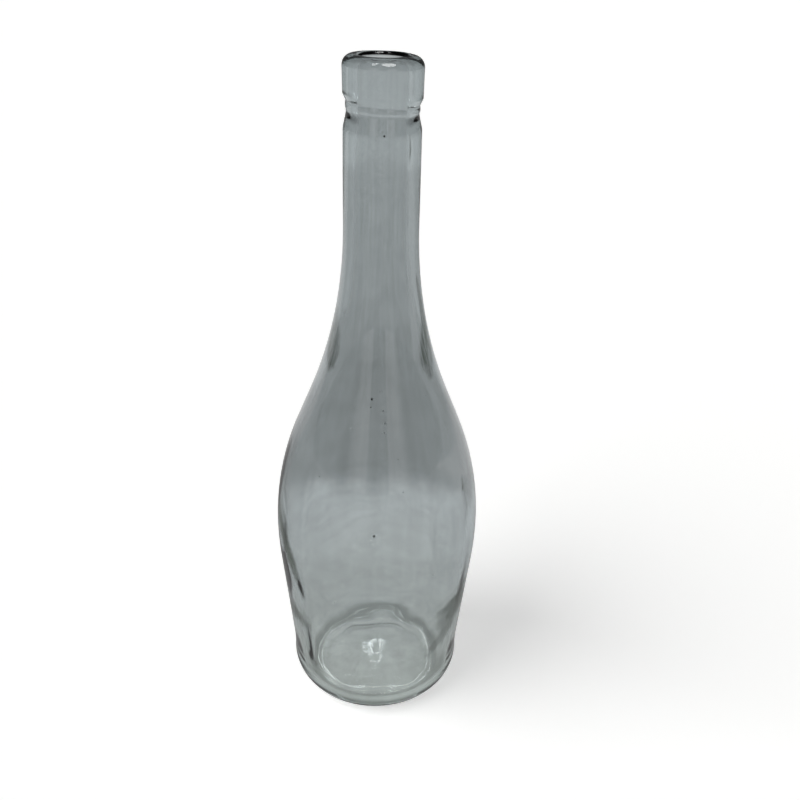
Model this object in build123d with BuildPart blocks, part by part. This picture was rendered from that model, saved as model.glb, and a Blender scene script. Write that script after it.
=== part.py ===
# A clear glass bottle in the genie shape: a skittle body, a long ogee shoulder, a slim neck and a
# tall rolled lip over a small bead. It is one moulded piece of glass, open at the mouth.
# Millimetres. The bottle stands on Z = 0 and is round about the Z axis.
from build123d import *
from math import acos, atan2, cos, degrees, hypot, sin
import os

os.makedirs("parts", exist_ok=True)

# Heights, stacked from the table up
foot_height = 14.8
body_rise = 73.2
shoulder_rise = 140.2
neck_length = 35.3
pinch_height = 7.4
bead_height = 3.2
lip_height = 15.9

# Foot and base: the heel turns under to a narrow ring, and the middle is pushed up
foot_radius = 40.25
heel_radius = 11.8
waist_depth = 0.12
ring_width = 2.2
punt_height = 8.5

# Body and neck, outside
belly_radius = 46.0
neck_radius = 15.0
neck_taper = 0.15

# Finish at the mouth: groove, bead and lip
groove_depth = 1.25
bead_proud = 0.3
lip_radius = 15.05
lip_taper = 0.15
lip_overhang = 1.15
underside_height = 2.8
lip_crown_radius = 3.5
mouth_rounding = 1.6

# Inside: a straight bore for the stopper, then the hollow, which leaves these walls
bore_radius = 9.4
bore_length = 22.0
bore_flare_length = 20.0
neck_wall = 4.65
belly_wall = 3.1
foot_wall = 3.7
inner_neck_rise = 3.4
inner_heel_radius = 9.0
trough_thickness = 3.8
floor_thickness = 3.8

# The radii of each ogee's two arcs, lower or inner one first, as shares of the fullest that fit
body_shares = (0.244, 0.364)
shoulder_shares = (0.407, 0.58)
pinch_shares = (0.4, 0.4)
underside_shares = (0.25, 0.25)
flare_shares = (0.4, 0.4)
inner_shoulder_shares = (0.406, 0.573)
inner_body_shares = (0.201, 0.375)
punt_shares = (0.75, 0.15)
floor_shares = (0.6, 0.3)
bead_middle_share = 0.5

# Levels worked out from the stack
belly_level = foot_height + body_rise
shoulder_top = belly_level + shoulder_rise
neck_top = shoulder_top + neck_length
groove_level = neck_top + pinch_height
bead_middle = groove_level + bead_middle_share * bead_height
lip_base = groove_level + bead_height
total_height = lip_base + lip_height
underside_top = lip_base + underside_height
crown_start = total_height - lip_crown_radius
bore_top = total_height - mouth_rounding
bore_base = bore_top - bore_length
flare_base = bore_base - bore_flare_length
inner_neck_base = shoulder_top + inner_neck_rise
inner_heel_top = trough_thickness + inner_heel_radius
floor_top = punt_height + floor_thickness

# Radii worked out from the sizes above
ring_outer = foot_radius - heel_radius
ring_inner = ring_outer - ring_width
waist_radius = foot_radius - waist_depth
neck_top_radius = neck_radius - neck_taper
groove_radius = neck_top_radius - groove_depth
bead_radius = groove_radius + bead_proud
lip_base_radius = lip_radius - lip_taper
lip_notch_radius = lip_base_radius - lip_overhang
crown_edge = lip_radius - lip_crown_radius
mouth_edge = bore_radius + mouth_rounding
inner_neck_radius = neck_radius - neck_wall
inner_belly_radius = belly_radius - belly_wall
inner_foot_radius = foot_radius - foot_wall
inner_trough_radius = inner_foot_radius - inner_heel_radius
quarter_turn = 90


def ogee(start, end, heading, shares):
    """Draws the S of a bottle's wall: an arc, a straight and an arc the other way, all tangent.

    It leaves start and reaches end along heading. Two such arcs alone would fill the gap when their
    radii add up to (along squared + aside squared) / (2 aside), and shares gives each arc its part
    of that. What is left of 1 becomes the straight.
    """
    gap = Vector(*end) - Vector(*start)
    ahead = Vector(*heading)
    left = Vector(-ahead.Y, ahead.X)
    along = gap.dot(ahead)
    aside = abs(gap.dot(left))
    side = 1 if gap.dot(left) > 0 else -1
    fullest = (along * along + aside * aside) / (aside + aside)
    first_radius = shares[0] * fullest
    last_radius = shares[1] * fullest
    both = first_radius + last_radius
    swing = atan2(along, both - aside) - acos(both / hypot(along, both - aside))
    straight = (along - both * sin(swing)) / cos(swing)
    first = JernArc(start, heading, first_radius, side * degrees(swing))
    middle = PolarLine(first @ 1, straight, direction=first % 1)
    JernArc(middle @ 1, middle % 1, last_radius, -side * degrees(swing))


# The bottle: one closed outline of the wall, turned once about the axis
with BuildPart() as bottle:
    with BuildSketch(Plane.XZ):
        with BuildLine():
            # The base: pushed up in the middle, then the ring that stands on the table
            ogee((0, punt_height), (ring_inner, 0), (1, 0), punt_shares)
            Line((ring_inner, 0), (ring_outer, 0))
            # The heel, and the foot band that draws in a little to its waist
            JernArc((ring_outer, 0), (1, 0), heel_radius, quarter_turn)
            Line((foot_radius, heel_radius), (waist_radius, foot_height))
            # The body opens to the belly, and the shoulder draws it in to the neck
            ogee((waist_radius, foot_height), (belly_radius, belly_level), (0, 1), body_shares)
            ogee((belly_radius, belly_level), (neck_radius, shoulder_top), (0, 1), shoulder_shares)
            Line((neck_radius, shoulder_top), (neck_top_radius, neck_top))
            # The groove, the bead and the soft underside of the lip
            ogee((neck_top_radius, neck_top), (groove_radius, groove_level), (0, 1), pinch_shares)
            ThreePointArc(
                (groove_radius, groove_level), (bead_radius, bead_middle), (lip_notch_radius, lip_base)
            )
            ogee(
                (lip_notch_radius, lip_base),
                (lip_base_radius, underside_top),
                (0, 1),
                underside_shares,
            )
            Line((lip_base_radius, underside_top), (lip_radius, crown_start))
            # The crown of the lip and the mouth
            JernArc((lip_radius, crown_start), (0, 1), lip_crown_radius, quarter_turn)
            Line((crown_edge, total_height), (mouth_edge, total_height))
            JernArc((mouth_edge, total_height), (-1, 0), mouth_rounding, quarter_turn)
            # The straight bore, and the hollow, drawn from the floor up to meet it
            Line((bore_radius, bore_top), (bore_radius, bore_base))
            ogee((inner_neck_radius, flare_base), (bore_radius, bore_base), (0, 1), flare_shares)
            Line((inner_neck_radius, flare_base), (inner_neck_radius, inner_neck_base))
            ogee(
                (inner_belly_radius, belly_level),
                (inner_neck_radius, inner_neck_base),
                (0, 1),
                inner_shoulder_shares,
            )
            ogee(
                (inner_foot_radius, inner_heel_top),
                (inner_belly_radius, belly_level),
                (0, 1),
                inner_body_shares,
            )
            JernArc((inner_trough_radius, trough_thickness), (1, 0), inner_heel_radius, quarter_turn)
            ogee((0, floor_top), (inner_trough_radius, trough_thickness), (1, 0), floor_shares)
            Line((0, floor_top), (0, punt_height))
        make_face()
    revolve(axis=Axis.Z)

bottle.part.label = "bottle"
export_step(bottle.part, "parts/bottle.step")
print("height", round(total_height, 2), "widest", round(belly_radius + belly_radius, 2))
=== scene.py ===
# %% [markdown]
# # A clear glass bottle in the genie shape
#
# The bottle is one piece of moulded glass: a skittle body, a long sloping shoulder, a slim neck,
# and a small bead under a tall rolled lip. It stands on Z = 0 and is round about Z. The solid
# model is loaded first, because it fixes the size and the place of everything that follows.

import math

import bpy
import numpy as np
from mathutils import Matrix


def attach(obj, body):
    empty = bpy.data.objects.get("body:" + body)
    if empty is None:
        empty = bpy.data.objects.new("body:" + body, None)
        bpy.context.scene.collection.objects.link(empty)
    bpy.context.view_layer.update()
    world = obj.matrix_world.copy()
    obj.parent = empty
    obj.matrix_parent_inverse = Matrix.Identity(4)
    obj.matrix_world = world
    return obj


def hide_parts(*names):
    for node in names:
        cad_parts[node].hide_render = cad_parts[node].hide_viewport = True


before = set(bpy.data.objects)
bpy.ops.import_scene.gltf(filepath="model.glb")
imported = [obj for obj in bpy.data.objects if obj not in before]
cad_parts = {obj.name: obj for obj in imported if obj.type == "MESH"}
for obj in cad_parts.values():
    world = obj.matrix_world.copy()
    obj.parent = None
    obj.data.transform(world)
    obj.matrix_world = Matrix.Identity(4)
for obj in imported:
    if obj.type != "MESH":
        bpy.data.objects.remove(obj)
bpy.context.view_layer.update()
MM = 0.001

# %% [markdown]
# ## The camera
#
# A bottle photographed from close by and above looks wide at the top and narrow at the foot. The
# camera stands where the ellipses of the lip and of the foot say that it stood: a third of a
# metre away, a little above the mouth, looking down. It is turned and rolled by about a degree
# and a half.

# %% Place the camera
CAMERA_PLACE = (0.0, -330.86 * MM, 328.28 * MM)
CAMERA_LENS, NEAREST_SEEN = 38.97, 10 * MM
CAMERA_DOWN, CAMERA_RIGHT, CAMERA_ROLL = (math.radians(angle) for angle in (28.36, 1.602, 1.56))

camera_data = bpy.data.cameras.new("camera")
camera_data.lens = CAMERA_LENS
camera_data.clip_start = NEAREST_SEEN
camera = bpy.data.objects.new("camera", camera_data)
camera.matrix_world = (
    Matrix.Translation(CAMERA_PLACE)
    @ Matrix.Rotation(-CAMERA_RIGHT, 4, "Z")
    @ Matrix.Rotation(math.pi / 2 - CAMERA_DOWN, 4, "X")
    @ Matrix.Rotation(CAMERA_ROLL, 4, "Z")
)
bpy.context.scene.collection.objects.link(camera)
bpy.context.scene.camera = camera
print("camera at", [round(value, 3) for value in camera.matrix_world.translation])

# %% [markdown]
# ## The sizes of the bottle
#
# These are the driving sizes of the solid model, in millimetres, and the levels and radii that
# follow from them. The wall is drawn again here, because the glass has to be much smoother than
# the solid's triangles: a bottle is a lens, and each flat facet would show through it. Two sizes
# differ from the solid's by some tenths: the lip's crown is rounder and the edge of the mouth is
# tighter, which together draw the dark crescent at the top of the lip.

# %% Heights and radii, in millimetres
FOOT_RADIUS, HEEL_RADIUS, RING_WIDTH, PUNT_HEIGHT = 40.25, 11.8, 2.2, 8.5
WAIST_RADIUS, FOOT_HEIGHT = 40.13, 14.8
BELLY_RADIUS, BELLY_LEVEL = 46.0, 88.0
NECK_RADIUS, NECK_TOP_RADIUS = 15.0, 14.85
SHOULDER_TOP, NECK_TOP = 228.2, 263.5
GROOVE_RADIUS, GROOVE_LEVEL = 13.6, 270.9
BEAD_RADIUS, BEAD_MIDDLE = 13.9, 272.5
LIP_BASE, LIP_BASE_RADIUS, LIP_OVERHANG, LIP_UNDERSIDE = 274.1, 14.9, 1.15, 2.8
LIP_RADIUS, CROWN_RADIUS, TOTAL_HEIGHT = 15.05, 3.8, 290.0
BORE_RADIUS, MOUTH_ROUNDING, BORE_BASE = 9.4, 1.2, 266.4
FLARE_BASE, INNER_NECK_RADIUS, INNER_NECK_BASE = 246.4, 10.35, 231.6
INNER_BELLY_RADIUS, INNER_FOOT_RADIUS = 42.9, 36.55
INNER_HEEL_RADIUS, TROUGH_LEVEL, FLOOR_TOP = 9.0, 3.8, 12.3

RING_OUTER = FOOT_RADIUS - HEEL_RADIUS
RING_INNER = RING_OUTER - RING_WIDTH
LIP_NOTCH_RADIUS = LIP_BASE_RADIUS - LIP_OVERHANG
LIP_SIDE_START = LIP_BASE + LIP_UNDERSIDE
CROWN_START, CROWN_EDGE = TOTAL_HEIGHT - CROWN_RADIUS, LIP_RADIUS - CROWN_RADIUS
BORE_TOP, MOUTH_EDGE = TOTAL_HEIGHT - MOUTH_ROUNDING, BORE_RADIUS + MOUTH_ROUNDING
INNER_HEEL_TOP = TROUGH_LEVEL + INNER_HEEL_RADIUS
TROUGH_RADIUS = INNER_FOOT_RADIUS - INNER_HEEL_RADIUS
print("walls, mm: neck", round(NECK_RADIUS - INNER_NECK_RADIUS, 2),
      "belly", round(BELLY_RADIUS - INNER_BELLY_RADIUS, 2),
      "foot", round(FOOT_RADIUS - INNER_FOOT_RADIUS, 2))

# %% [markdown]
# ## The outline of the wall
#
# A bottle mould is turned on a lathe, so its outline is made of arcs and straights that flow into
# each other. Small helpers draw them: an S between two levels, an arc about a centre, and an arc
# through three points. Each gives points in (radius, height).

# %% Draw an S
def s_curve(start, end, heading, shares, steps=96):
    """Points of an S that leaves start and reaches end along heading: arc, straight, opposite arc.

    Along the heading L lies between the ends, and A across it. Two arcs alone would need radii
    that add up to (L squared + A squared) / 2A, and shares gives each arc its part of that. The
    first is (R sin a, R (1 - cos a)) for a from 0 to the swing, and the last is the same from the
    far end.
    """
    start, heading = np.array(start, float), np.array(heading, float)
    left = np.array([-heading[1], heading[0]])
    along, aside = (np.array(end) - start) @ heading, (np.array(end) - start) @ left
    side, aside = np.sign(aside), abs(aside)
    first, last = np.array(shares) * (along**2 + aside**2) / (2 * aside)
    both = first + last
    swing = math.atan2(along, both - aside) - math.acos(both / math.hypot(along, both - aside))
    turn = np.linspace(0, swing, steps)
    back = turn[::-1]
    forward = np.concatenate([first * np.sin(turn), along - last * np.sin(back)])
    across = np.concatenate([first * (1 - np.cos(turn)), aside - last * (1 - np.cos(back))])
    return start + np.outer(forward, heading) + np.outer(side * across, left)


print("an S from (0, 0) up to (5, 20) ends at",
      s_curve((0, 0), (5, 20), (0, 1), (0.5, 0.4))[-1].round(2).tolist())

# %% Draw arcs, and space points evenly
def arc(centre, radius, first_degrees, last_degrees, steps=48):
    """Points of an arc: centre + radius (cos a, sin a) for a from the first to the last angle."""
    turn = np.radians(np.linspace(first_degrees, last_degrees, steps))
    return np.array(centre) + radius * np.stack([np.cos(turn), np.sin(turn)], 1)


def arc_through(first, middle, last):
    """Points of the arc through three points, about the centre as far from each of them."""
    first, middle, last = (np.array(point, float) for point in (first, middle, last))
    sides = 2 * np.array([middle - first, last - first])
    centre = np.linalg.solve(sides, [middle @ middle - first @ first, last @ last - first @ first])
    angles = [math.degrees(math.atan2(*(point - centre)[::-1])) for point in (first, last)]
    return arc(centre, math.dist(centre, first), *angles)


def evenly(points, spacing):
    """The same line as points, with points at even steps of about spacing along its length."""
    points = np.array(points, float)
    way = np.concatenate([[0], np.cumsum(np.hypot(*np.diff(points, axis=0).T))])
    places = np.linspace(0, way[-1], max(2, round(way[-1] / spacing) + 1))
    return np.stack([np.interp(places, way, column) for column in points.T], 1)


def joined(sections):
    """One line from (points, spacing) pairs that meet end to end."""
    lines = [evenly(points, spacing) for points, spacing in sections]
    return np.concatenate([lines[0]] + [line[1:] for line in lines[1:]])


print("a quarter arc of radius 10, a point every 2 mm:", len(evenly(arc((0, 0), 10, 0, 90), 2)))

# %% [markdown]
# The line starts under the middle of the base and runs out to the ring that the bottle stands on,
# up the outside and over the crown of the lip. Each section comes with the spacing of its points
# in millimetres: small features get points close together, and the long easy curves get few. The
# shares are those of the solid model.

# %% Trace the outside
UP, DOWN, OUT, IN = (0, 1), (0, -1), (1, 0), (-1, 0)
PUNT_SHARES, BODY_SHARES, SHOULDER_SHARES = (0.75, 0.15), (0.244, 0.364), (0.407, 0.58)
PINCH_SHARES, UNDERSIDE_SHARES = (0.4, 0.4), (0.25, 0.25)

outside = joined([
    (s_curve((0, PUNT_HEIGHT), (RING_INNER, 0), OUT, PUNT_SHARES), 1.5),
    ([(RING_INNER, 0), (RING_OUTER, 0)], 0.37),
    (arc((RING_OUTER, HEEL_RADIUS), HEEL_RADIUS, -90, 0), 1.0),
    ([(FOOT_RADIUS, HEEL_RADIUS), (WAIST_RADIUS, FOOT_HEIGHT)], 1.5),
    (s_curve((WAIST_RADIUS, FOOT_HEIGHT), (BELLY_RADIUS, BELLY_LEVEL), UP, BODY_SHARES), 2.2),
    (s_curve((BELLY_RADIUS, BELLY_LEVEL), (NECK_RADIUS, SHOULDER_TOP), UP, SHOULDER_SHARES), 2.2),
    ([(NECK_RADIUS, SHOULDER_TOP), (NECK_TOP_RADIUS, NECK_TOP)], 2.2),
    (s_curve((NECK_TOP_RADIUS, NECK_TOP), (GROOVE_RADIUS, GROOVE_LEVEL), UP, PINCH_SHARES), 0.7),
    (arc_through((GROOVE_RADIUS, GROOVE_LEVEL), (BEAD_RADIUS, BEAD_MIDDLE),
                 (LIP_NOTCH_RADIUS, LIP_BASE)), 0.4),
    (s_curve((LIP_NOTCH_RADIUS, LIP_BASE), (LIP_BASE_RADIUS, LIP_SIDE_START), UP,
             UNDERSIDE_SHARES), 0.3),
    ([(LIP_BASE_RADIUS, LIP_SIDE_START), (LIP_RADIUS, CROWN_START)], 1.4),
    (arc((CROWN_EDGE, CROWN_START), CROWN_RADIUS, 0, 90), 0.5),
    ([(CROWN_EDGE, TOTAL_HEIGHT), (MOUTH_EDGE, TOTAL_HEIGHT)], 0.3),
])
print("outside points:", len(outside))

# %% [markdown]
# From there it runs in over the edge of the mouth, down the bore, the flare and the hollow, and
# back to the middle of the floor. The inside was blown against nothing but air, so it follows the
# mould at its own distances.

# %% Trace the inside
FLARE_SHARES, FLOOR_SHARES = (0.4, 0.4), (0.3, 0.6)
INNER_SHOULDER_SHARES, INNER_BODY_SHARES = (0.573, 0.406), (0.375, 0.201)

inside = joined([
    (arc((MOUTH_EDGE, BORE_TOP), MOUTH_ROUNDING, 90, 180), 0.3),
    ([(BORE_RADIUS, BORE_TOP), (BORE_RADIUS, BORE_BASE)], 2.5),
    (s_curve((BORE_RADIUS, BORE_BASE), (INNER_NECK_RADIUS, FLARE_BASE), DOWN, FLARE_SHARES), 1.8),
    ([(INNER_NECK_RADIUS, FLARE_BASE), (INNER_NECK_RADIUS, INNER_NECK_BASE)], 3.5),
    (s_curve((INNER_NECK_RADIUS, INNER_NECK_BASE), (INNER_BELLY_RADIUS, BELLY_LEVEL), DOWN,
             INNER_SHOULDER_SHARES), 3.3),
    (s_curve((INNER_BELLY_RADIUS, BELLY_LEVEL), (INNER_FOOT_RADIUS, INNER_HEEL_TOP), DOWN,
             INNER_BODY_SHARES), 3.3),
    (arc((TROUGH_RADIUS, INNER_HEEL_TOP), INNER_HEEL_RADIUS, 0, -90), 1.0),
    (s_curve((TROUGH_RADIUS, TROUGH_LEVEL), (0, FLOOR_TOP), IN, FLOOR_SHARES), 1.5),
])
print("inside points:", len(inside))

# %% [markdown]
# ## From a line to a wall
#
# The line is turned about Z on a grid of angle by place. Each point of it also gets its normal,
# so that the wall can be made thicker or thinner there.

# %% Turn the line
AROUND = 280

line = np.concatenate([outside, inside[1:]])
is_outside = np.arange(len(line)) < len(outside)
radius, height = line.T[:, :, None]
turn = np.linspace(0, 2 * math.pi, AROUND, endpoint=False)[None, :]
tangent = np.gradient(line, axis=0)
tangent /= np.hypot(*tangent.T)[:, None]
normal_radius, normal_height = tangent[:, 1, None], -tangent[:, 0, None]
print("grid:", len(line), "places on the line, each at", AROUND, "angles")

# %% [markdown]
# What makes glass look like glass is that it is not quite true. The mould leaves the outside
# nearly even, but the inside is blown, so its wall wanders by some tenths of a millimetre, in
# long streaks and in slow ripples where it settled. Sums of slow waves give both. Each wave is
# (waves around, millimetres per wave in height, phase, share).

# %% Lay the waves of the two surfaces
OUTER_WANDER, INNER_WANDER = 0.06, 0.50
OUTER_WAVES = [(2, 310, 0.4, 0.4), (3, -170, 2.1, 0.3), (5, 90, 4.4, 0.2), (8, -60, 1.0, 0.1)]
INNER_WAVES = [(2, 240, 1.1, 0.22), (3, -150, 4.0, 0.18), (5, 70, 2.6, 0.16), (9, -95, 0.3, 0.14),
               (8, 52, 5.2, 0.12), (14, 420, 3.3, 0.12), (23, -900, 1.9, 0.06)]
POLE_FADE = (0, 12)  # radii between which the waves grow from nothing
OUTER_FADES = ((4, 16), (274, 262))  # heights where they start and where they end
INNER_FADES = ((266, 240), (10, 26))
LEAST_WANDER, FULL_WANDER_RADIUS = 0.4, 34  # the share in the neck, and where it reaches 1


def wander(turn, height, waves):
    """Sum of share times cos(k a + 2 pi z / length + phase), which stays between -1 and 1."""
    return sum(
        share * np.cos(around * turn + 2 * math.pi * height / length + phase)
        for around, length, phase, share in waves
    )


def eased(values, low, high):
    """0 at low and 1 at high, with a soft start and end: t squared times (3 - 2 t)."""
    t = np.clip((values - low) / (high - low), 0, 1)
    return t * t * (3 - 2 * t)


fade_at_pole = eased(radius, *POLE_FADE)
outer_fade = fade_at_pole * eased(height, *OUTER_FADES[0]) * eased(height, *OUTER_FADES[1])
outer_offset = OUTER_WANDER * (wander(turn, height, OUTER_WAVES) - 1) * outer_fade
hollow_part = eased(height, *INNER_FADES[0]) * eased(height, *INNER_FADES[1])
inner_fade = fade_at_pole * hollow_part * np.clip(radius / FULL_WANDER_RADIUS, LEAST_WANDER, 1)
inner_offset = INNER_WANDER * wander(turn, height, INNER_WAVES) * inner_fade
print("outside lies back by up to", round(float(-outer_offset.min()), 2), "mm")

# %% [markdown]
# A few places are thicker or thinner than the waves make them: glass sets first where it meets
# the cold mould, and is left in lumps there. They bend what is seen through them. Each is a soft
# hill on the inside. Angles here are counted from the front, the side of -Y, and grow towards +X,
# on the right. Left and right the waves are calmer, so that the sides of the bottle stay clean.

# %% Add the lumps
SIDE_CALM, SIDE_SHARES = 0.7, (0.80, 0.97)
LUMPS = [  # angle in degrees, then height, half width, half height and thickness in mm
    (-1.5, 137, 3.5, 7, 0.45), (50, 126, 5, 6, 0.15), (56, 116, 4, 5, -0.13),
    (54, 109, 3, 4, 0.12), (-40, 120, 12, 5, 0.15), (22, 116, 14, 5, -0.20),
    (-15, 86, 16, 6, 0.25), (-70, 98, 5, 14, 0.20), (12, 66, 14, 4, 0.20), (178, 74, 12, 5, 0.25),
    (150, 60, 18, 8, 0.30), (-150, 52, 16, 7, -0.30),
]


def arc_from(angle):
    """Millimetres round the wall from an angle counted from the front: r times the shorter turn."""
    apart = turn - math.radians(angle - 90)
    return radius * (np.mod(apart + math.pi, 2 * math.pi) - math.pi)


def hill(angle, level, half_width, half_height):
    """A soft hill, exp(-(across squared + up squared) / 2), each counted in half sizes."""
    across, up = arc_from(angle) / half_width, (height - level) / half_height
    return np.exp(-(across**2 + up**2) / 2)


calm = 1 - SIDE_CALM * eased(np.abs(np.cos(turn)), *SIDE_SHARES)
inner_offset = inner_offset * calm + sum(lump[4] * hill(*lump[:4]) for lump in LUMPS)
print("lumps:", len(LUMPS), "thickest", max(lump[4] for lump in LUMPS), "mm")

# %% [markdown]
# On both sides the wall also thins slowly towards the back where the bottle is narrow, and on the
# left of the belly it is thicker. Light that enters at the bottle's edge is trapped in a wall that
# grows thicker along its way, and draws a black line. In one that grows thinner it gets out again,
# and the edge stays pale.

# %% Taper the sides and set the wall
THINNER_BEHIND, LEFT_THICKER = 0.50, 0.38
NARROW_ABOVE, NARROW_BELOW = (112, 150), (80, 58)  # heights between which the belly ends
TAPER_FADES = ((228, 195), (10, 26))

narrow_parts = eased(height, *NARROW_ABOVE) + eased(height, *NARROW_BELOW)
taper = THINNER_BEHIND * narrow_parts * np.sin(turn)
taper = taper + LEFT_THICKER * (1 - narrow_parts) * np.sin(2 * turn)
taper = taper * np.cos(turn) ** 2 * eased(height, *TAPER_FADES[0]) * eased(height, *TAPER_FADES[1])
inner_offset = inner_offset - taper
offset = np.where(is_outside[:, None], outer_offset, inner_offset)
ring_radius = radius + offset * normal_radius
ring_height = height + offset * normal_height
print("inside lies off by, mm:", round(float(inner_offset.min()), 2), "to",
      round(float(inner_offset.max()), 2))

# %% [markdown]
# Two more things are not round. The lip was tooled a little out of square, so its lower edge and
# the bead lie lower on the right. And the heel is knurled where it comes down to the standing
# ring: short bars keep the hot bottle from checking on the belt, and they catch the light through
# the base.

# %% Slant the lip and knurl the heel
SLANT_START = NECK_TOP - 6
SLANT_LEVELS = (SLANT_START, GROOVE_LEVEL, BEAD_MIDDLE, LIP_SIDE_START, CROWN_START, TOTAL_HEIGHT)
SLANT_DROPS = (0.0, 0.75, 1.55, 1.5, 0.5, 0.35)
KNURLS, KNURL_DEPTH = AROUND // 2, 0.40
KNURL_START, KNURL_MIDDLE, KNURL_END = 30.5, 33.6, 36.5

drop = np.interp(height, SLANT_LEVELS, SLANT_DROPS) * is_outside[:, None]
ring_height = ring_height - drop * (1 + np.cos(turn)) / 2
across_knurls = eased(radius, KNURL_START, KNURL_MIDDLE) * eased(radius, KNURL_END, KNURL_MIDDLE)
under = is_outside[:, None] & (height < HEEL_RADIUS / 2)
ring_height = ring_height + KNURL_DEPTH * across_knurls * under * (1 - np.cos(KNURLS * turn)) / 2
print("knurls:", KNURLS, "every", round(2 * math.pi * KNURL_MIDDLE / KNURLS, 2), "mm")

# %% [markdown]
# The dark green patches drawn here are painted shade: they stand for the dark surroundings that the
# wall refracts where it is seen at a slant, in wedges and streaks on the body, shoulder and neck.
# Each is a line over the outside, and the mesh carries how dark it is as an attribute that the
# material reads. The ring that the bottle stands on gets the same painted shade, in the same
# attribute. It shows through the base as a dark wavy arch.

# %% Draw the painted shade
# painted shade on the standing ring, where it meets the floor
RING_SHADE, RING_SHADE_INNER, RING_SHADE_OUTER = 0.70, (25.0, 31.5), (37.5, 33.5)
PAINTED_SHADE_EDGE = 8  # the higher, the sharper the edge of a line of painted shade
# lines of painted shade, for the dark surroundings that the wall refracts
PAINTED_SHADE_LINES = [  # points of angle in degrees, height and half width in mm, and darkness
    [(-84, 110, 3.4, 0.8), (-74, 98, 4.2, 1.0), (-63.5, 90, 4.6, 1.0), (-56.5, 82, 4.5, 1.0),
     (-52.5, 75.4, 3.2, 0.9), (-49.5, 70, 1.7, 0.7)],
    [(-72, 45, 4.5, 0.9), (-59, 48, 4.2, 0.9), (-52, 47, 3.2, 0.8), (-45.5, 47.3, 2.0, 0.5)],
    [(67, 65, 2.5, 1.0), (58, 60, 3.0, 1.0), (48, 58.5, 3.0, 0.9), (41, 58.5, 2.0, 0.6)],
    [(66, 54, 6.5, 1.0), (56, 52.5, 7.0, 0.9), (47, 51, 5.5, 0.6), (41, 48, 5.0, 0.2)],
    [(54, 45, 4.5, 0.8), (44, 39, 3.2, 0.65), (36, 34, 2.2, 0.4)],
    [(-74, 192, 2.8, 0.6), (-69, 184, 5.0, 1.0), (-64, 178, 5.2, 1.0), (-60, 173, 3.2, 1.0)],
    [(64, 208, 0.9, 0.8), (70, 198, 1.6, 1.0), (72, 190, 2.6, 1.0), (67, 182, 4.8, 1.0),
     (62, 175, 5.2, 1.0), (60, 170, 3.0, 0.8)],
    [(42, 264, 0.36, 0.8), (44, 259, 0.46, 1.0), (43.3, 255, 0.36, 1.0)],
    [(61, 122.5, 0.6, 0.6), (60, 118, 1.1, 1.0)],
]


def along_line(points):
    """How dark the painted shade of a line is at each point of the grid.

    That is the darkness of the nearest place on its line, which fades as
    exp(-(distance / half width) ** PAINTED_SHADE_EDGE / 2).
    """
    best = np.zeros(np.broadcast(radius, turn).shape)
    for start, end in zip(points, points[1:]):
        run = np.array([
            math.radians(end[0] - start[0]) * radius, np.full_like(radius, end[1] - start[1])])
        away = np.array([arc_from(start[0]), np.broadcast_to(height - start[1], best.shape)])
        share = np.clip((away * run).sum(0) / np.maximum((run * run).sum(0), 1e-9), 0, 1)
        distance = np.hypot(*(away - share * run))
        half_width = start[2] + share * (end[2] - start[2])
        darkness = start[3] + share * (end[3] - start[3])
        best = np.maximum(best, darkness * np.exp(-((distance / half_width) ** PAINTED_SHADE_EDGE) / 2))
    return best


# painted shade: the lines, and the standing ring darkened as well
painted_shade = np.max([along_line(points) for points in PAINTED_SHADE_LINES], axis=0) * is_outside[:, None]
shaded_ring = eased(radius, *RING_SHADE_INNER) * eased(radius, *RING_SHADE_OUTER)
painted_shade = np.maximum(painted_shade, RING_SHADE * shaded_ring * under)
print("cords:", len(PAINTED_SHADE_LINES), "darkest", round(float(painted_shade.max()), 2))

# %% [markdown]
# The grid becomes one closed mesh: rings of quads, and a fan of triangles at each pole. It stands
# for the solid bottle and rides on the one body.

# %% Build the glass
def ring_mesh(name, ring_radius, ring_height, turn):
    """A closed surface of rings: x = r cos a, y = r sin a. The first and last rings are points."""
    rings, around = ring_radius.shape
    x, y = ring_radius * np.cos(turn), ring_radius * np.sin(turn)
    body = np.stack([x, y, ring_height], 2)[1:-1].reshape(-1, 3)
    poles = [(0, 0, ring_height[0, 0]), (0, 0, ring_height[-1, 0])]
    index = np.arange(len(body)).reshape(rings - 2, around)
    ahead = np.roll(index, -1, axis=1)
    quads = np.stack([index[:-1], ahead[:-1], ahead[1:], index[1:]], 2).reshape(-1, 4)
    first, last = np.full(around, len(body)), np.full(around, len(body) + 1)
    start_fan = np.stack([first, ahead[0], index[0]], 1)
    end_fan = np.stack([index[-1], ahead[-1], last], 1)
    mesh = bpy.data.meshes.new(name)
    points = np.concatenate([body, poles]) * MM
    mesh.from_pydata(points.tolist(), [], quads.tolist() + start_fan.tolist() + end_fan.tolist())
    mesh.shade_smooth()
    piece = bpy.data.objects.new(name, mesh)
    bpy.context.scene.collection.objects.link(piece)
    return piece


glass = ring_mesh("bottle_glass", ring_radius, ring_height, turn)
everywhere = np.ones((1, AROUND))
# the mesh carries the painted shade as an attribute for the material
for name, values in (("on_outside", is_outside[:, None] * everywhere), ("painted_shade_marks", painted_shade)):
    at_points = np.concatenate([values[1:-1].ravel(), [values[0, 0], values[-1, 0]]])
    glass.data.attributes.new(name, "FLOAT", "POINT").data.foreach_set("value", at_points)
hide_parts("bottle")
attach(glass, "root")
print("glass triangles:", sum(len(face.vertices) - 2 for face in glass.data.polygons))

# %% [markdown]
# ## Seeds and stones
#
# Seeds are small bubbles that never rose out of the melt, and stones are grains of sand or brick
# that never melted. Both lie inside the wall, halfway through it, and show as pale and as dark
# specks. Each is a small closed egg, longer up the bottle, because the glass was drawn out as it
# was blown.

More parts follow.
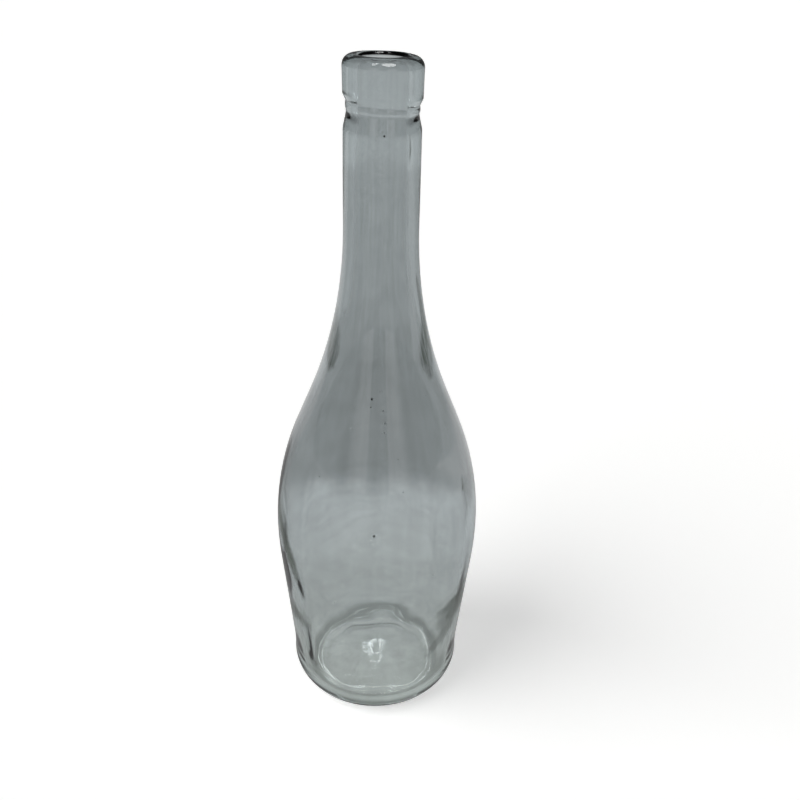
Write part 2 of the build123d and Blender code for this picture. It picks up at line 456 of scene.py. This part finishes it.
# %% Scatter seeds and stones
STONES = [  # angle in degrees, then height and half size in mm
    (-6.3, 163.1, 0.42), (-6.8, 160.0, 0.24), (-1.5, 108.9, 0.46), (3.0, 263.8, 0.30),
    (-38.5, 129.2, 0.20), (15.6, 127.0, 0.20), (166, 92.0, 0.30), (-121, 176.0, 0.26)]
BUBBLES = [
    (4.1, 158.7, 0.32), (5.5, 154.1, 0.38), (4.8, 150.5, 0.26), (2.2, 166.0, 0.16),
    (33, 84.0, 0.22), (-24, 71.0, 0.20), (140, 140.0, 0.30), (-160, 112.0, 0.26),
    (95, 66.0, 0.24)]
EGG_LENGTH = 1.25  # in widths
EGG_RINGS, EGG_SIDES = 7, 8


def eggs(name, places):
    """Closed eggs in the middle of the wall, size (cos a sin b, sin a sin b, length cos b) each."""
    outer_line, inner_line = line[is_outside], line[~is_outside]
    body = outer_line[:, 1] > FOOT_HEIGHT
    side = np.linspace(0, 2 * math.pi, EGG_SIDES, endpoint=False)
    down = np.linspace(math.pi, 0, EGG_RINGS)[1:-1]
    ball = np.stack([
        np.outer(np.sin(down), np.cos(side)), np.outer(np.sin(down), np.sin(side)),
        EGG_LENGTH * np.outer(np.cos(down), np.ones(EGG_SIDES))], 2).reshape(-1, 3)
    ball = np.concatenate([ball, [(0, 0, -EGG_LENGTH), (0, 0, EGG_LENGTH)]])
    index = np.arange(len(ball) - 2).reshape(-1, EGG_SIDES)
    ahead = np.roll(index, -1, axis=1)
    low, high = np.full(EGG_SIDES, len(ball) - 2), np.full(EGG_SIDES, len(ball) - 1)
    faces = np.stack([index[:-1], ahead[:-1], ahead[1:], index[1:]], 2).reshape(-1, 4).tolist()
    faces += np.stack([low, ahead[0], index[0]], 1).tolist()
    faces += np.stack([index[-1], ahead[-1], high], 1).tolist()
    points, polygons = [], []
    for number, (angle, level, half_size) in enumerate(places):
        outer = np.interp(level, outer_line[body, 1], outer_line[body, 0])
        inner = np.interp(level, inner_line[::-1, 1], inner_line[::-1, 0])
        middle, turned = (outer + inner) / 2, math.radians(angle - 90)
        centre = (middle * math.cos(turned), middle * math.sin(turned), level)
        points.append(ball * half_size + centre)
        polygons += [[corner + number * len(ball) for corner in face] for face in faces]
    mesh = bpy.data.meshes.new(name)
    mesh.from_pydata((np.concatenate(points) * MM).tolist(), [], polygons)
    mesh.shade_smooth()
    piece = bpy.data.objects.new(name, mesh)
    bpy.context.scene.collection.objects.link(piece)
    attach(piece, "root")
    print(name, len(places), "faces:", len(mesh.polygons))
    return piece


stones = eggs("stones_in_the_wall", STONES)
bubbles = eggs("seeds_in_the_wall", BUBBLES)

# %% [markdown]
# ## Colours and nodes
#
# Colours are picked as sRGB hex values, as a painter would name them, and turned to the linear
# light that the renderer works in. One helper adds a node with its settings and its inputs. An
# input is named, or numbered where a node has several of one name: in a Mix node 2 and 3 are its
# two numbers, and 6 and 7 its two colours.

# %% Helpers for materials
def colour(hex_value):
    """Linear red, green, blue and 1 from an sRGB hex value, by the sRGB curve."""
    parts = np.array([int(hex_value[i:i + 2], 16) for i in (1, 3, 5)]) / 255
    linear = np.where(parts <= 0.04045, parts / 12.92, ((parts + 0.055) / 1.055) ** 2.4)
    return (*linear.tolist(), 1.0)


def add(tree, kind, inputs=None, **settings):
    """Adds a node. inputs maps a socket to a value, or to another node's output to link from."""
    node = tree.nodes.new(kind)
    for name, value in settings.items():
        setattr(node, name, value)
    for socket, value in (inputs or {}).items():
        if isinstance(value, bpy.types.NodeSocket):
            tree.links.new(value, node.inputs[socket])
        else:
            node.inputs[socket].default_value = value
    return node


def new_tree(block):
    """The empty node tree of a material or a world."""
    block.use_nodes = True
    block.node_tree.nodes.clear()
    return block.node_tree


print("middle grey #808080 in linear light:", round(colour("#808080")[0], 3))

# %% [markdown]
# ## Soda-lime glass
#
# Bottle glass is soda-lime glass with traces of iron, so it has a faint tint, and is greener in the
# base, where it is thick. Most of its grey here is painted shade: it stands for the dim
# surroundings seen through the glass, and makes it much darker than clear glass. In real glass all
# of the tint lies in the volume. Here most of it lies on the outside, where patterns can vary it,
# and the inside is nearly clear. The next cells build it up step by step.

# %% Start the glass: its grey, from the base up
# grey tints that are mostly painted shade, for the dim surroundings seen through the glass
GLASS_TINT_AND_SHADE, BASE_TINT_AND_SHADE = "#b3babc", "#b1b8b5"
BASE_TINT_LEVELS = (20 * MM, 75 * MM)

glass_material = bpy.data.materials.new("moulded_soda_lime_glass")
tree = new_tree(glass_material)
place = add(tree, "ShaderNodeTexCoord")
split = add(tree, "ShaderNodeSeparateXYZ", {0: place.outputs["Object"]})
in_base = add(tree, "ShaderNodeMapRange", {
    "Value": split.outputs["Z"], "From Min": BASE_TINT_LEVELS[1],
    "From Max": BASE_TINT_LEVELS[0]})
tint = add(tree, "ShaderNodeMix", {
    "Factor": in_base.outputs[0], 6: colour(GLASS_TINT_AND_SHADE), 7: colour(BASE_TINT_AND_SHADE)}, data_type="RGBA")
print("tints:", GLASS_TINT_AND_SHADE, "and in the base", BASE_TINT_AND_SHADE)

# %% [markdown]
# Two patterns vary the tint by some hundredths. Streaks run up the bottle, because the glass was
# drawn out with the neck. Their noise is laid on a circle of radius 1, so that they follow the
# turn: nine to the unit are 5 mm wide at the belly and under 2 mm in the neck.

# %% Streak the glass
STREAKS_PER_UNIT, STREAK_LENGTH = 9.0, 80 * MM
STREAK_NOISE, STREAK_RANGE = (0.3, 0.7), (0.93, 1.05)

flat = add(tree, "ShaderNodeVectorMath", {
    0: place.outputs["Object"], 1: (1, 1, 0)}, operation="MULTIPLY")
spoke = add(tree, "ShaderNodeVectorMath", {0: flat.outputs[0]}, operation="NORMALIZE")
rise = add(tree, "ShaderNodeVectorMath", {
    0: place.outputs["Object"], 1: (0, 0, 1 / (STREAK_LENGTH * STREAKS_PER_UNIT))},
    operation="MULTIPLY")
streak_place = add(tree, "ShaderNodeVectorMath", {
    0: spoke.outputs[0], 1: rise.outputs[0]}, operation="ADD")
streaks = add(tree, "ShaderNodeTexNoise", {
    "Vector": streak_place.outputs[0], "Scale": STREAKS_PER_UNIT, "Detail": 3.0})
streak_level = add(tree, "ShaderNodeMapRange", {
    "Value": streaks.outputs["Fac"], "From Min": STREAK_NOISE[0], "From Max": STREAK_NOISE[1],
    "To Min": STREAK_RANGE[0], "To Max": STREAK_RANGE[1]})
tint = add(tree, "ShaderNodeMix", {
    "Factor": 1.0, 6: tint.outputs[2], 7: streak_level.outputs[0]},
    data_type="RGBA", blend_type="MULTIPLY")
print("a streak at the belly, mm:", round(BELLY_RADIUS / STREAKS_PER_UNIT, 1))

# %% [markdown]
# Lying ripples vary it low on the body, where the glass settled before it set. They are soft
# patches about two centimetres wide and less than half as high.

# %% Ripple the lower body
RIPPLE_SIZE, RIPPLE_STRETCH = 22 * MM, 2.4
RIPPLE_NOISE, RIPPLE_RANGE = (0.32, 0.62), (0.90, 1.04)
RIPPLE_LEVELS = (80 * MM, 105 * MM)

low_body = add(tree, "ShaderNodeMapRange", {
    "Value": split.outputs["Z"], "From Min": RIPPLE_LEVELS[1], "From Max": RIPPLE_LEVELS[0]})
ripple_place = add(tree, "ShaderNodeVectorMath", {
    0: place.outputs["Object"], 1: (1, 1, RIPPLE_STRETCH)}, operation="MULTIPLY")
ripples = add(tree, "ShaderNodeTexNoise", {
    "Vector": ripple_place.outputs[0], "Scale": 1 / RIPPLE_SIZE, "Detail": 2.0,
    "Distortion": 1.5})
ripple_level = add(tree, "ShaderNodeMapRange", {
    "Value": ripples.outputs["Fac"], "From Min": RIPPLE_NOISE[0], "From Max": RIPPLE_NOISE[1],
    "To Min": RIPPLE_RANGE[0], "To Max": RIPPLE_RANGE[1]})
tint = add(tree, "ShaderNodeMix", {
    "Factor": low_body.outputs[0], 6: tint.outputs[2], 7: ripple_level.outputs[0]},
    data_type="RGBA", blend_type="MULTIPLY")
print("a ripple, mm:", round(RIPPLE_SIZE / MM), "by", round(RIPPLE_SIZE / MM / RIPPLE_STRETCH))

# %% [markdown]
# At the edges of the neck the eye looks along the wall, through much more glass, so the tint is
# deeper there. How far the surface turns away from the eye says where that is.

# %% Deepen the edges of the neck
EDGE_SLANTS, NECK_EDGE, NECK_EDGE_LEVELS = (0.35, 0.75), 0.84, (175 * MM, 205 * MM)

slanting = add(tree, "ShaderNodeLayerWeight", {"Blend": 0.5})
in_neck = add(tree, "ShaderNodeMapRange", {
    "Value": split.outputs["Z"], "From Min": NECK_EDGE_LEVELS[0], "From Max": NECK_EDGE_LEVELS[1],
    "To Min": 1.0, "To Max": NECK_EDGE})
edge_level = add(tree, "ShaderNodeMapRange", {
    "Value": slanting.outputs["Facing"], "From Min": EDGE_SLANTS[0], "From Max": EDGE_SLANTS[1],
    "To Min": 1.0, "To Max": in_neck.outputs[0]})
tint = add(tree, "ShaderNodeMix", {
    "Factor": 1.0, 6: tint.outputs[2], 7: edge_level.outputs[0]},
    data_type="RGBA", blend_type="MULTIPLY")
print("tint kept at the neck's edges:", NECK_EDGE)

# %% [markdown]
# The painted shade is dark green. Above the belly its ends are ragged, as if combed: fine lines of
# noise, less than a millimetre wide, break them up. It darkens the glass where the wall is seen at
# a slant, and hardly where it is seen straight on. On the standing ring it is dark from any side.

# %% Paint the dark shade
# colour and limits of the painted shade
PAINTED_SHADE_TINT, PAINTED_SHADE_SLANTS, PAINTED_SHADE_STRAIGHT_ON = "#2e362e", (0.08, 0.28), 0.12
RING_SHADE_LEVELS = (4 * MM, 12 * MM)
RAGS_PER_UNIT, RAG_LENGTH, RAG_NOISE = 60.0, 9 * MM, (0.35, 0.55)
RAG_LEAST, RAG_LEVELS = 0.3, (130 * MM, 150 * MM)

painted_shade_marks = add(tree, "ShaderNodeAttribute", attribute_name="painted_shade_marks")
rise = add(tree, "ShaderNodeVectorMath", {
    0: place.outputs["Object"], 1: (0, 0, 1 / (RAG_LENGTH * RAGS_PER_UNIT))},
    operation="MULTIPLY")
rag_place = add(tree, "ShaderNodeVectorMath", {
    0: spoke.outputs[0], 1: rise.outputs[0]}, operation="ADD")
rags = add(tree, "ShaderNodeTexNoise", {"Vector": rag_place.outputs[0], "Scale": RAGS_PER_UNIT})
rag_least = add(tree, "ShaderNodeMapRange", {
    "Value": split.outputs["Z"], "From Min": RAG_LEVELS[0], "From Max": RAG_LEVELS[1],
    "To Min": 1.0, "To Max": RAG_LEAST})
rag_level = add(tree, "ShaderNodeMapRange", {
    "Value": rags.outputs["Fac"], "From Min": RAG_NOISE[0], "From Max": RAG_NOISE[1],
    "To Min": rag_least.outputs[0]})
straight_on = add(tree, "ShaderNodeMapRange", {
    "Value": split.outputs["Z"], "From Min": RING_SHADE_LEVELS[0], "From Max": RING_SHADE_LEVELS[1],
    "To Min": 1.0, "To Max": PAINTED_SHADE_STRAIGHT_ON})
along_wall = add(tree, "ShaderNodeMapRange", {
    "Value": slanting.outputs["Facing"], "From Min": PAINTED_SHADE_SLANTS[0], "From Max": PAINTED_SHADE_SLANTS[1],
    "To Min": straight_on.outputs[0]})
ragged_shade = add(tree, "ShaderNodeMath", {
    0: painted_shade_marks.outputs["Fac"], 1: rag_level.outputs[0]}, operation="MULTIPLY")
slanting_shade = add(tree, "ShaderNodeMath", {
    0: ragged_shade.outputs[0], 1: along_wall.outputs[0]}, operation="MULTIPLY")
# mix the painted shade into the glass colour
tint = add(tree, "ShaderNodeMix", {
    "Factor": slanting_shade.outputs[0], 6: tint.outputs[2], 7: colour(PAINTED_SHADE_TINT)},
    data_type="RGBA")
print("cord tint:", PAINTED_SHADE_TINT)

# %% [markdown]
# The surface is perfectly smooth, as glass that was fire-polished, and bends light as soda-lime
# glass does. The absorption in its volume darkens a long path through the rim and the heel, and
# hardly touches a short one.

# %% Finish the glass
GLASS_IOR, INNER_TINT = 1.52, "#f1f1f1"
VOLUME_TINT, VOLUME_DENSITY = "#95adaa", 20.0

side = add(tree, "ShaderNodeAttribute", attribute_name="on_outside")
tint = add(tree, "ShaderNodeMix", {
    "Factor": side.outputs["Fac"], 6: colour(INNER_TINT), 7: tint.outputs[2]}, data_type="RGBA")
surface = add(tree, "ShaderNodeBsdfPrincipled", {
    "Base Color": tint.outputs[2], "Roughness": 0.0, "IOR": GLASS_IOR,
    "Transmission Weight": 1.0})
volume = add(tree, "ShaderNodeVolumeAbsorption", {
    "Color": colour(VOLUME_TINT), "Density": VOLUME_DENSITY})
add(tree, "ShaderNodeOutputMaterial", {
    "Surface": surface.outputs["BSDF"], "Volume": volume.outputs["Volume"]})
glass.data.materials.append(glass_material)
print(glass_material.name, "nodes:", len(tree.nodes))

# %% [markdown]
# ## Stones and seeds
#
# A stone is dull and dark brown. A bubble throws light back all over, because the glass around it
# is denser than the air in it, and at this size that looks matt and white. Both vary with a grain
# of a tenth of a millimetre, so that neither is one flat colour.

# %% Make the stone and bubble materials
GRAIN_SIZE, SPECK_IOR = 0.1 * MM, 1.5
SPECKS = [  # piece, material, its two colours, roughness
    (stones, "unmelted_batch_stone", ("#1d1b18", "#3a342c"), 0.8),
    (bubbles, "air_bubble_in_glass", ("#e4ebeb", "#ffffff"), 1.0),
]

for piece, name, colours, roughness in SPECKS:
    material = bpy.data.materials.new(name)
    tree = new_tree(material)
    place = add(tree, "ShaderNodeTexCoord")
    grain = add(tree, "ShaderNodeTexNoise", {
        "Vector": place.outputs["Object"], "Scale": 1 / GRAIN_SIZE})
    shade = add(tree, "ShaderNodeMix", {
        "Factor": grain.outputs["Fac"], 6: colour(colours[0]), 7: colour(colours[1])},
        data_type="RGBA")
    surface = add(tree, "ShaderNodeBsdfPrincipled", {
        "Base Color": shade.outputs[2], "Roughness": roughness, "IOR": SPECK_IOR})
    add(tree, "ShaderNodeOutputMaterial", {"Surface": surface.outputs["BSDF"]})
    piece.data.materials.append(material)
    print(material.name, "from", colours[0], "to", colours[1])

# %% [markdown]
# ## The floor
#
# The floor is a wide card just under the foot. It is only there for the picture, and is not part
# of the bottle.

# %% Lay the floor
FLOOR_HALF, FLOOR_HEIGHT = 6.0, -0.02 * MM

floor_mesh = bpy.data.meshes.new("floor")
corners = [(-1, -1), (1, -1), (1, 1), (-1, 1)]
floor_mesh.from_pydata(
    [(x * FLOOR_HALF, y * FLOOR_HALF, FLOOR_HEIGHT) for x, y in corners], [], [(0, 1, 2, 3)])
floor = bpy.data.objects.new("floor", floor_mesh)
bpy.context.scene.collection.objects.link(floor)
print("floor, m:", 2 * FLOOR_HALF, "square")

# %% [markdown]
# The card is pale and matt, and keeps the bottle's shadow. The camera sees it glow a little, so
# that it comes out white around the shadow. Rays through the glass see it glow at levels that
# change
# with the reach from the foot: bright under the bottle, as painted light that came through the
# glass, darker around the foot, as the bottle's painted shadow, dimmer further back, where the
# light falls off, and brighter again at its far end. The levels lie in squares, as on a board, and
# soft patches of painted light and shade vary them. In mirror images only one wide bright strip of
# painted light shows, behind the bottle and to its right.

# %% Measure the floor from the foot
FLOOR_REACH, CORNER_SMOOTHING = 2500 * MM, 20 * MM
# painted light under the bottle and the bottle's painted shadow around its foot, seen through the
# glass
FLOOR_LEVELS = [  # reach in mm, level
    (0, 1.14), (42, 0.92), (62, 0.90), (88, 1.05), (140, 1.03), (174, 0.53), (350, 0.51),
    (635, 0.74), (1190, 0.77), (2130, 0.94)]
MIRROR_WAY = (0.3, 1, 0)
MIRROR_LEVELS = [(0, 0.30), (110, 0.30), (300, 0.80), (430, 0.80), (750, 0.30)]

floor_material = bpy.data.materials.new("matt_white_card")
tree = new_tree(floor_material)
place = add(tree, "ShaderNodeTexCoord")
positive = add(tree, "ShaderNodeVectorMath", {0: place.outputs["Object"]}, operation="ABSOLUTE")
sides = add(tree, "ShaderNodeSeparateXYZ", {0: positive.outputs[0]})
reach = add(tree, "ShaderNodeMath", {
    0: sides.outputs["X"], 1: sides.outputs["Y"], 2: CORNER_SMOOTHING}, operation="SMOOTH_MAX")
share_of_reach = add(tree, "ShaderNodeMath", {
    0: reach.outputs[0], 1: FLOOR_REACH}, operation="DIVIDE")
way = add(tree, "ShaderNodeVectorMath", {
    0: place.outputs["Object"], 1: MIRROR_WAY}, operation="DOT_PRODUCT")
share_of_way = add(tree, "ShaderNodeMath", {
    0: way.outputs["Value"], 1: FLOOR_REACH}, operation="DIVIDE")
ramps = []
for share, levels in ((share_of_reach, FLOOR_LEVELS), (share_of_way, MIRROR_LEVELS)):
    ramp = add(tree, "ShaderNodeValToRGB", {"Fac": share.outputs[0]})
    ramp.color_ramp.interpolation = "EASE"
    stops = ramp.color_ramp.elements
    stops.remove(stops[1])
    for number, (distance, strength) in enumerate(levels):
        stop = stops.new(distance * MM / FLOOR_REACH) if number else stops[0]
        stop.position, stop.color = distance * MM / FLOOR_REACH, (strength, strength, strength, 1)
    ramps.append(ramp)
print("floor levels:", len(FLOOR_LEVELS), "and in mirror images:", len(MIRROR_LEVELS))

# %% [markdown]
# The light path tells the rays apart. A ray that was mirrored last is glossy and did not go
# through, one that went through the glass is both, and the camera's own rays are neither.

# %% Finish the floor
CARD_COLOUR, GLOW_SEEN = "#f4f4f2", 0.56
LIGHT_PATCH_SIZE, LIGHT_PATCH_NOISE, LIGHT_PATCH_RANGE = 60 * MM, (0.35, 0.65), (0.93, 1.06)

path = add(tree, "ShaderNodeLightPath")
mirrored = add(tree, "ShaderNodeMath", {
    0: path.outputs["Is Glossy Ray"], 1: path.outputs["Is Transmission Ray"]},
    operation="SUBTRACT")
# soft patches of painted light and shade on the floor seen through the glass
light_patches = add(tree, "ShaderNodeTexNoise", {
    "Vector": place.outputs["Object"], "Scale": 1 / LIGHT_PATCH_SIZE, "Detail": 2.0, "Distortion": 0.6})
light_patch_level = add(tree, "ShaderNodeMapRange", {
    "Value": light_patches.outputs["Fac"], "From Min": LIGHT_PATCH_NOISE[0], "From Max": LIGHT_PATCH_NOISE[1],
    "To Min": LIGHT_PATCH_RANGE[0], "To Max": LIGHT_PATCH_RANGE[1]})
level = add(tree, "ShaderNodeMath", {
    0: ramps[0].outputs[0], 1: light_patch_level.outputs[0]}, operation="MULTIPLY")
level = add(tree, "ShaderNodeMix", {
    "Factor": mirrored.outputs[0], 2: level.outputs[0], 3: ramps[1].outputs[0]})
in_glass = add(tree, "ShaderNodeMath", {
    0: path.outputs["Is Glossy Ray"], 1: path.outputs["Is Transmission Ray"]},
    operation="MAXIMUM")
glow = add(tree, "ShaderNodeEmission", {"Strength": GLOW_SEEN})
card = add(tree, "ShaderNodeBsdfDiffuse", {"Color": colour(CARD_COLOUR)})
seen = add(tree, "ShaderNodeAddShader", {0: card.outputs[0], 1: glow.outputs[0]})
through = add(tree, "ShaderNodeEmission", {"Strength": level.outputs[0]})
floor_shader = add(tree, "ShaderNodeMixShader", {
    0: in_glass.outputs[0], 1: seen.outputs[0], 2: through.outputs[0]})
add(tree, "ShaderNodeOutputMaterial", {"Surface": floor_shader.outputs[0]})
floor_mesh.materials.append(floor_material)
print(floor_material.name, "nodes:", len(tree.nodes))

# %% [markdown]
# ## The room around
#
# Glass shows nothing but its surroundings, so the room is drawn with care. Rays through the glass
# meet a white backdrop that goes all the way round, and a dimmer room above it. Mirror images are
# darker, and show two tall windows on the side of the camera, left and right, with the dark of
# whoever takes the picture between them. They give the pale bands down the shoulder. The camera
# itself sees plain white. Places in the room are given as directions, each a share of 1.

# %% Set out the backdrop and the windows
BACKDROP_BEHIND, BACKDROP_TOP = (0.35, 0.85), (0.35, 0.65)
WINDOW_NEAR, WINDOW_FAR, WINDOW_FRONT, WINDOW_TOP = (
    (0.21, 0.25), (0.50, 0.68), (0.05, -0.15), (0.25, 0.45))

world = bpy.data.worlds.new("pale_room")
bpy.context.scene.world = world
tree = new_tree(world)
place = add(tree, "ShaderNodeTexCoord")
split = add(tree, "ShaderNodeSeparateXYZ", {0: place.outputs["Generated"]})
behind = add(tree, "ShaderNodeMapRange", {
    "Value": split.outputs["Y"], "From Min": BACKDROP_BEHIND[0], "From Max": BACKDROP_BEHIND[1]},
    interpolation_type="SMOOTHSTEP")
below_top = add(tree, "ShaderNodeMapRange", {
    "Value": split.outputs["Z"], "From Min": BACKDROP_TOP[1], "From Max": BACKDROP_TOP[0]},
    interpolation_type="SMOOTHSTEP")
backdrop = add(tree, "ShaderNodeMath", {
    0: behind.outputs[0], 1: below_top.outputs[0]}, operation="MULTIPLY")
aside = add(tree, "ShaderNodeMath", {0: split.outputs["X"]}, operation="ABSOLUTE")
windows = add(tree, "ShaderNodeMapRange", {
    "Value": aside.outputs[0], "From Min": WINDOW_NEAR[0], "From Max": WINDOW_NEAR[1]})
for value, first, last in ((aside.outputs[0], WINDOW_FAR[1], WINDOW_FAR[0]),
                           (split.outputs["Y"], *WINDOW_FRONT),
                           (split.outputs["Z"], WINDOW_TOP[1], WINDOW_TOP[0])):
    limit = add(tree, "ShaderNodeMapRange", {
        "Value": value, "From Min": first, "From Max": last}, interpolation_type="SMOOTHSTEP")
    windows = add(tree, "ShaderNodeMath", {
        0: windows.outputs[0], 1: limit.outputs[0]}, operation="MULTIPLY")
print("windows reach from", WINDOW_NEAR[0], "to", WINDOW_FAR[1], "on either side")

# %% [markdown]
# Each kind of ray gets its own level. Light that falls on the floor gets an even one, which keeps
# the shadow soft.

# %% Light the room
ROOM_DIM, ROOM_DIM_MIRRORED, ROOM_AMBIENT, ROOM_SEEN = 0.30, 0.04, 0.12, 1.0
BACKDROP_LEVEL, BACKDROP_MIRRORED, WINDOW_LEVEL = 0.9, 0.1, 0.9

path = add(tree, "ShaderNodeLightPath")
mirrored = add(tree, "ShaderNodeMath", {
    0: path.outputs["Is Glossy Ray"], 1: path.outputs["Is Transmission Ray"]},
    operation="SUBTRACT")
in_mirror = add(tree, "ShaderNodeMath", {
    0: windows.outputs[0], 1: WINDOW_LEVEL, 2: ROOM_DIM_MIRRORED}, operation="MULTIPLY_ADD")
in_mirror = add(tree, "ShaderNodeMath", {
    0: backdrop.outputs[0], 1: BACKDROP_MIRRORED, 2: in_mirror.outputs[0]},
    operation="MULTIPLY_ADD")
through = add(tree, "ShaderNodeMath", {
    0: below_top.outputs[0], 1: BACKDROP_LEVEL, 2: ROOM_DIM}, operation="MULTIPLY_ADD")
level = add(tree, "ShaderNodeMix", {
    "Factor": mirrored.outputs[0], 2: through.outputs[0], 3: in_mirror.outputs[0]})
for kind, strength in (("Is Diffuse Ray", ROOM_AMBIENT), ("Is Camera Ray", ROOM_SEEN)):
    level = add(tree, "ShaderNodeMix", {
        "Factor": path.outputs[kind], 2: level.outputs[0], 3: strength})
sky = add(tree, "ShaderNodeBackground", {"Strength": level.outputs[0]})
add(tree, "ShaderNodeOutputWorld", {"Surface": sky.outputs[0]})
bpy.context.scene.view_settings.view_transform = "Standard"
print(world.name, "nodes:", len(tree.nodes))

# %% [markdown]
# ## The lights
#
# A broad soft lamp from the left casts the pale shadow. It is hidden from the glass, which would
# otherwise show it as a round spot.

# %% Hang the lamp
LAMP_PLACE, LAMP_TARGET = (-0.9, -0.35, 1.0), (0, 0, 0.1)
LAMP_ENERGY, LAMP_SPREAD = 1.85, math.radians(50)


def facing(place, target):
    """The matrix of a light at place whose -Z looks at target."""
    away = np.array(place) - np.array(target)
    flat = math.hypot(away[0], away[1])
    return (
        Matrix.Translation(place)
        @ Matrix.Rotation(math.atan2(away[0], -away[1]), 4, "Z")
        @ Matrix.Rotation(math.atan2(flat, away[2]), 4, "X")
    )


lamp_data = bpy.data.lights.new("window", "SUN")
lamp_data.energy, lamp_data.angle = LAMP_ENERGY, LAMP_SPREAD
lamp = bpy.data.objects.new("window", lamp_data)
lamp.matrix_world = facing(LAMP_PLACE, LAMP_TARGET)
lamp.visible_glossy = lamp.visible_transmission = False
bpy.context.scene.collection.objects.link(lamp)
print("lamp from", LAMP_PLACE)

# %% [markdown]
# The other lights are there for the glass alone. A ceiling fitting behind the bottle is made of
# four bright bars, and shows through the base as a small bright frame. How bright a lamp looks is
# given as its radiance, and the energy that it needs for that is radiance times pi times area.

# %% Hang the fitting behind
FITTING_PLACE, FITTING_TARGET = (0.02, 0.84, 1.27), (0, 0, 0.01)
FITTING_WIDTH, FITTING_HEIGHT, BAR_WIDTH, FITTING_RADIANCE = 0.44, 1.00, 0.09, 30.0

for quarter in range(4):
    length, reach = FITTING_WIDTH, FITTING_HEIGHT
    if quarter % 2:
        length, reach = reach, length
    bar_data = bpy.data.lights.new(f"back_fitting_{quarter}", "AREA")
    bar_data.shape = "RECTANGLE"
    bar_data.size, bar_data.size_y = length, BAR_WIDTH
    bar_data.energy = FITTING_RADIANCE * math.pi * length * BAR_WIDTH
    bar = bpy.data.objects.new(f"back_fitting_{quarter}", bar_data)
    bar.matrix_world = (
        facing(FITTING_PLACE, FITTING_TARGET)
        @ Matrix.Rotation(quarter * math.pi / 2, 4, "Z")
        @ Matrix.Translation((0, reach / 2, 0))
    )
    bar.visible_camera = bar.visible_diffuse = bar.visible_glossy = False
    bpy.context.scene.collection.objects.link(bar)
print("fitting at", FITTING_PLACE)

# %% [markdown]
# Two oval lamp shades in front show only in mirror images, as the two glints on the lip.

# %% Hang the shades in front
SHADE_TARGET = (0, 0, TOTAL_HEIGHT * MM)
SHADES = [  # name, centre, width, height, radiance
    ("right_shade", (0.35, -0.72, 1.56), 0.80, 1.00, 7.0),
    ("left_shade", (-0.456, -0.651, 1.56), 0.25, 0.80, 5.0),
]

for name, centre, width, tall, radiance in SHADES:
    shade_data = bpy.data.lights.new(name, "AREA")
    shade_data.shape = "ELLIPSE"
    shade_data.size, shade_data.size_y = width, tall
    shade_data.energy = radiance * math.pi * width * tall * math.pi / 4
    shade = bpy.data.objects.new(name, shade_data)
    shade.matrix_world = facing(centre, SHADE_TARGET)
    shade.visible_camera = shade.visible_diffuse = shade.visible_transmission = False
    bpy.context.scene.collection.objects.link(shade)
    print(name, "at", centre)
